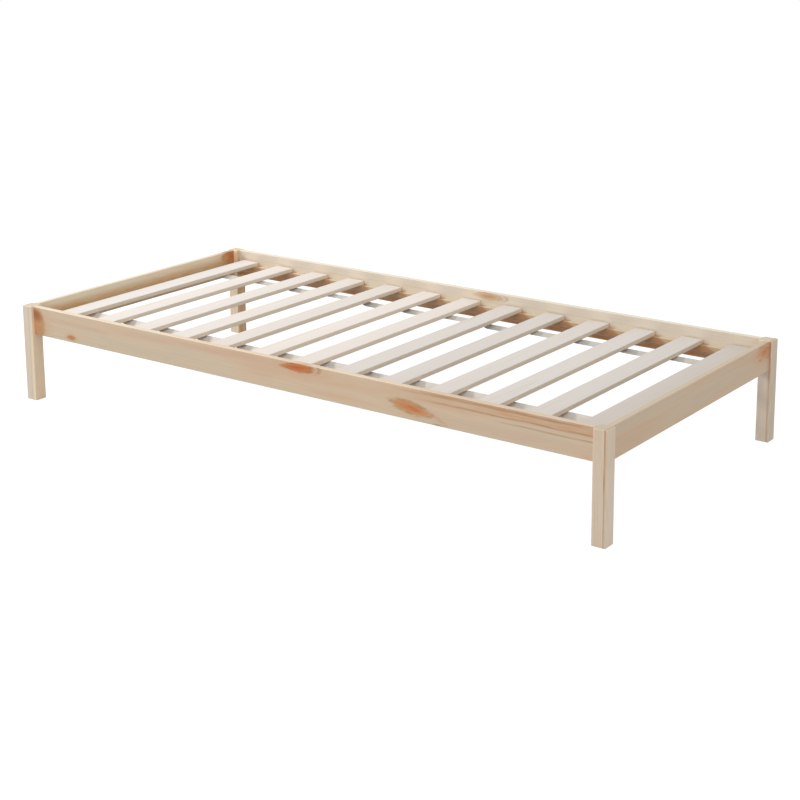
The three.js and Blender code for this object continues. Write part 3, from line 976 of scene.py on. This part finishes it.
weave = give_out(tree, {"Height": height, "Shade": shade})

# %% Material: webbing
YARN = 0.0012
YARN_RELIEF = 0.0004
WEB_DARK = paint(190, 180, 170)
WEB_PALE = paint(214, 204, 194)
WEB_SOIL = paint(180, 172, 160)

webbing, tree = new_material("webbing")
band_place = read_mesh(tree, "board_place")
woven = use_effect(tree, weave, {"Place": band_place, "Yarn": YARN})
colour = tint(tree, fade(tree, woven["Shade"], 0.1, 0.9), WEB_DARK, WEB_PALE)
soiled = noise(tree, band_place, 9.0, detail=3.0)
colour = tint(tree, fade(tree, soiled, 0.5, 0.8, 0.0, 0.25), colour, WEB_SOIL)
colour = lighten(tree, colour, split(tree, read_mesh(tree, "board_tone"))[0])
close_material(tree, colour, 0.85, woven["Height"], 0.7, YARN_RELIEF, {"Sheen Weight": 0.25})
print("webbing: yarns of", YARN, "m")

# %% Straps
# Each pair says how low the band's back and front edges hang in one gap, in millimetres.
STRAP_DROPS = {
    "slat_strap_front": [
        (2.0, 10.2), (0.8, 10.2), (4.0, 10.4), (1.0, 10.2), (4.8, 10.6), (4.0, 10.4),
        (0.3, 10.2), (6.4, 10.8), (0.3, 10.2), (1.0, 10.2), (5.2, 10.6), (0.5, 10.2),
    ],
    "slat_strap_back": [
        (0.5, 6.0), (0.3, 3.4), (2.4, 8.5), (0.3, 3.0), (6.0, 12.6), (4.8, 10.8),
        (0.5, 5.4), (7.0, 13.4), (0.5, 6.2), (2.4, 8.0), (5.0, 10.4), (0.4, 6.2),
    ],
}
# Painted light: both bands are lightened, the front one more, to lift the shade under the slats.
STRAP_PAINTED_LIGHT = {"slat_strap_front": 1.26, "slat_strap_back": 1.05}
STRAP_THICKNESS = 0.0012
STATION = 0.004
STAPLE_REACH = 0.012
MILLIMETRE = 0.001
SWAY = 0.0006
SWAY_GAPS = 3.1


def band_profile(width, thickness, steps=4):
    """The band's cross-section, with soft selvedges, as (across, up) pairs. Up is below 0."""
    half, radius = width / 2, thickness / 2
    right = [
        (half - radius + radius * math.cos(a), -radius + radius * math.sin(a))
        for a in np.linspace(-math.pi / 2, math.pi / 2, steps + 1)
    ]
    left = [
        (-half + radius + radius * math.cos(a), -radius + radius * math.sin(a))
        for a in np.linspace(math.pi / 2, 1.5 * math.pi, steps + 1)
    ]
    top = [(half - radius - (width - thickness) * i / 4, 0.0) for i in range(1, 4)]
    bottom = [(-half + radius + (width - thickness) * i / 4, -thickness) for i in range(1, 4)]
    return right + top + left + bottom


def slat_middle(slat):
    low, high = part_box(slat)
    return (low.x + high.x) / 2


def strap(node):
    low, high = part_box(node)
    middle, width = (low.y + high.y) / 2, high.y - low.y
    profile = band_profile(width, STRAP_THICKNESS)
    first_staple, last_staple = slat_middle(SLAT_NODES[0]), slat_middle(SLAT_NODES[-1])
    drops = STRAP_DROPS[node]
    stations = np.linspace(low.x, high.x, int(round((high.x - low.x) / STATION)) + 1)
    vertices, place = [], []
    run = 0.0
    before = None
    for x in stations:
        turn = (min(max(x, first_staple), last_staple) - first_staple) / SLAT_PITCH
        beside = abs(turn - round(turn)) * SLAT_PITCH
        hang = MILLIMETRE * (1 - math.exp(-((beside / STAPLE_REACH) ** 2)))
        back_edge, front_edge = (hang * drop for drop in drops[min(int(turn), len(drops) - 1)])
        roll = math.asin((front_edge - back_edge) / width)
        sway = SWAY * math.sin(2 * math.pi * turn / SWAY_GAPS)
        z = high.z - (back_edge + front_edge) / 2
        if before is not None:
            run += math.hypot(x - before[0], z - before[1])
        before = (x, z)
        for across, up in profile:
            y = middle + sway + across * math.cos(roll) - up * math.sin(roll)
            vertices.append((x, y, z + across * math.sin(roll) + up * math.cos(roll)))
            place.append((run, across, up))
    count = len(profile)
    faces = []
    for i in range(len(stations) - 1):
        for j in range(count):
            a, b = i * count + j, i * count + (j + 1) % count
            faces.append((a, b, b + count, a + count))
    faces.append(tuple(range(count))[::-1])
    faces.append(tuple(range(len(vertices) - count, len(vertices))))
    mesh = bpy.data.meshes.new("dressed_" + node)
    mesh.from_pydata(vertices, [], faces)
    made = bmesh.new()
    made.from_mesh(mesh)
    bmesh.ops.recalc_face_normals(made, faces=made.faces)
    made.to_mesh(mesh)
    made.free()
    carry(mesh, "board_place", place)
    carry(mesh, "board_tone", [(STRAP_PAINTED_LIGHT[node], 0.0, 0.0)] * len(place))
    mesh.polygons.foreach_set("use_smooth", [True] * len(mesh.polygons))
    band = finish_board("dressed_" + node, mesh, webbing, [node])
    print(node, "cut", round(width, 3), "by", round(run, 3), "m")


for node in STRAP_DROPS:
    strap(node)


# %% [markdown]
# ## Steel and beech
#
# The fittings are stamped from zinc-plated steel: bright, a little bluish, with soft blotches where the
# plating took unevenly. Wood screws are plated yellow, and staples stay bare. The dowels are turned
# beech, whose fine flecks run along them.

# %% Material: plated steel
def plated(name, dull, bright, least_rough):
    material, tree = new_material(name)
    where = add_node(tree, "ShaderNodeTexCoord").outputs["Object"]
    blotch = noise(tree, where, 160.0, detail=4.0, roughness=0.6)
    scratch = grain_noise(tree, where, 2200.0, 180.0)
    colour = tint(tree, fade(tree, blotch, 0.35, 0.7), dull, bright)
    rough = maths(tree, "MULTIPLY_ADD", blotch, 0.25, least_rough)
    close_material(tree, colour, rough, scratch, 0.15, 0.0001, {"Metallic": 1.0})
    print("metal:", name)
    return material


zinc = plated("zinc_steel", paint(176, 180, 186), paint(206, 209, 212), 0.22)
yellow_zinc = plated("yellow_zinc", paint(158, 118, 66), paint(190, 152, 94), 0.35)
bare_wire = plated("bare_wire", paint(150, 150, 152), paint(184, 184, 186), 0.30)

# %% Material: beech
BEECH_PALE = paint(222, 190, 150)
BEECH_FLECK = paint(176, 130, 92)

beech, tree = new_material("beech_dowels")
where = add_node(tree, "ShaderNodeTexCoord").outputs["Object"]
fleck = grain_noise(tree, where, 120.0, 1400.0, detail=2.0)
colour = tint(tree, fade(tree, fleck, 0.4, 0.7), BEECH_PALE, BEECH_FLECK)
close_material(tree, colour, 0.6, fleck, 0.3, 0.0002)
print("wood:", beech.name)

# %% Give the hidden pieces their finish
finishes = {"hook_plate": zinc, "strike_plate": zinc, "ledge_screw": yellow_zinc, "dowel": beech}
finished = []
for name, node in cad_nodes.items():
    for start, finish in finishes.items():
        if name.startswith(start):
            node.data.materials.clear()
            node.data.materials.append(finish)
            finished.append(name)
print("hidden pieces finished:", len(finished))


# %% [markdown]
# ## Staples
#
# One wire staple at each slat holds the strap. Its back is a short bar pressed flat against the weave,
# and its two legs go up through the strap into the slat. A staple is bent from one wire, so it is swept
# along one path with rounded corners. The thirteen staples of a strap are joined into one object.

# %% Staples
STAPLE_BACK = 0.0100
STAPLE_LEG = 0.0060
STAPLE_BEND = 0.0009
WIRE = 0.00035
PRESSED = 0.8
STRAY_ALONG = 0.0015
STRAY_ACROSS = 0.0012
STRAY_TURN = 0.12


def staple_path():
    """The bent wire's middle line as (x, z) pairs, from one leg's tip to the other's."""
    half = STAPLE_BACK / 2
    points = [(-half, STAPLE_LEG)]
    for step in range(5):
        angle = math.pi + math.pi / 2 * step / 4
        x = -half + STAPLE_BEND + STAPLE_BEND * math.cos(angle)
        points.append((x, STAPLE_BEND + STAPLE_BEND * math.sin(angle)))
    return points + [(-x, z) for x, z in reversed(points)]


def sweep_wire(solid, middle, turn, path, radius, sides=8):
    rings = []
    for i, (x, z) in enumerate(path):
        before, after = path[max(i - 1, 0)], path[min(i + 1, len(path) - 1)]
        ahead = Vector((after[0] - before[0], 0.0, after[1] - before[1])).normalized()
        up = Vector((0.0, 1.0, 0.0))
        side = up.cross(ahead)
        ring = []
        for k in range(sides):
            angle = 2 * math.pi * k / sides
            point = Vector((x, 0.0, z)) + radius * (math.cos(angle) * side + math.sin(angle) * up)
            ring.append(solid.verts.new(middle + Matrix.Rotation(turn, 3, "Z") @ point))
        rings.append(ring)
    for first, second in zip(rings, rings[1:]):
        for k in range(sides):
            solid.faces.new((first[k], first[(k + 1) % sides], second[(k + 1) % sides], second[k]))
    solid.faces.new(rings[0][::-1])
    solid.faces.new(rings[-1])


for node in STRAP_DROPS:
    low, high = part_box(node)
    solid = bmesh.new()
    for slat in SLAT_NODES:
        middle = Vector(
            (
                slat_middle(slat) + rng.uniform(-STRAY_ALONG, STRAY_ALONG),
                (low.y + high.y) / 2 + rng.uniform(-STRAY_ACROSS, STRAY_ACROSS),
                high.z - STRAP_THICKNESS - WIRE * PRESSED,
            )
        )
        turn = rng.uniform(-STRAY_TURN, STRAY_TURN) + math.pi / 2
        sweep_wire(solid, middle, turn, staple_path(), WIRE)
    bmesh.ops.recalc_face_normals(solid, faces=solid.faces)
    name = node.replace("slat_strap", "staples")
    mesh = bpy.data.meshes.new(name)
    solid.to_mesh(mesh)
    solid.free()
    mesh.polygons.foreach_set("use_smooth", [True] * len(mesh.polygons))
    mesh.materials.append(bare_wire)
    staples = new_object(name, mesh)
    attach(staples, "root")
print("staples:", 2 * len(SLAT_NODES))
